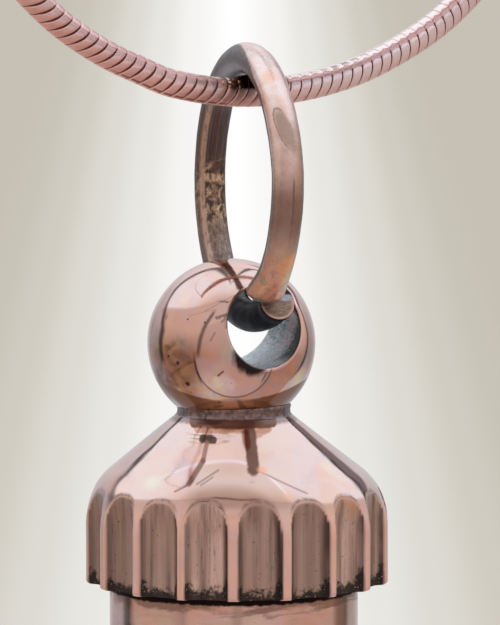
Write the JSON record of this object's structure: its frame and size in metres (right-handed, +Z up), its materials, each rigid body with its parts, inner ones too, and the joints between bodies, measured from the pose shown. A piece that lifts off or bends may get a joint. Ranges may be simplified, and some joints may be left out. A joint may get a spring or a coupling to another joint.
{
  "type": "keepsake urn pendant on its chain",
  "caption": "Small screw-top keepsake urn with a fluted cap and a cross-drilled ball bail, hanging by a jump ring on a worn snake chain.",
  "frame": {"origin": "middle of the clasp, where the loop lies against the nape of the neck", "axes": "+Z up as worn, -Y the wearer's front, +X the wearer's left; the loop is symmetrical about X = 0 and the jump ring lies in that plane"},
  "size_m": [0.115, 0.1161, 0.153],
  "materials": {
    "polished_rose_gold": "satin-bright rose gold",
    "clasp_rose_gold": "polished rose gold",
    "antique_ring": "oxidised rose gold, rubbed bright on the outside",
    "antique_cap": "polished rose gold, oxidised in the flutes",
    "antique_vessel": "polished oxidised rose gold"
  },
  "bodies": {
    "necklace": {"chain": "polished_rose_gold", "clasp": "clasp_rose_gold"},
    "ring": {"jump_ring": "antique_ring"},
    "cap": {"urn_cap": "antique_cap"},
    "vessel": {"urn_vessel": "antique_vessel"}
  },
  "joints": [
    {"name": "ring_swing", "type": "hinge", "parent": "necklace", "child": "ring", "pos_m": [0, -0.11, -0.122], "axis": [1, 0, 0], "range_deg": [-60, 60]},
    {"name": "urn_swing", "type": "hinge", "parent": "ring", "child": "cap", "pos_m": [0, -0.11, -0.12878], "axis": [0, 1, 0], "range_deg": [-50, 50]},
    {"name": "vessel_unscrew", "type": "slide", "parent": "cap", "child": "vessel", "axis": [0, 0, -1], "range_m": [0, 0.012]}
  ]
}
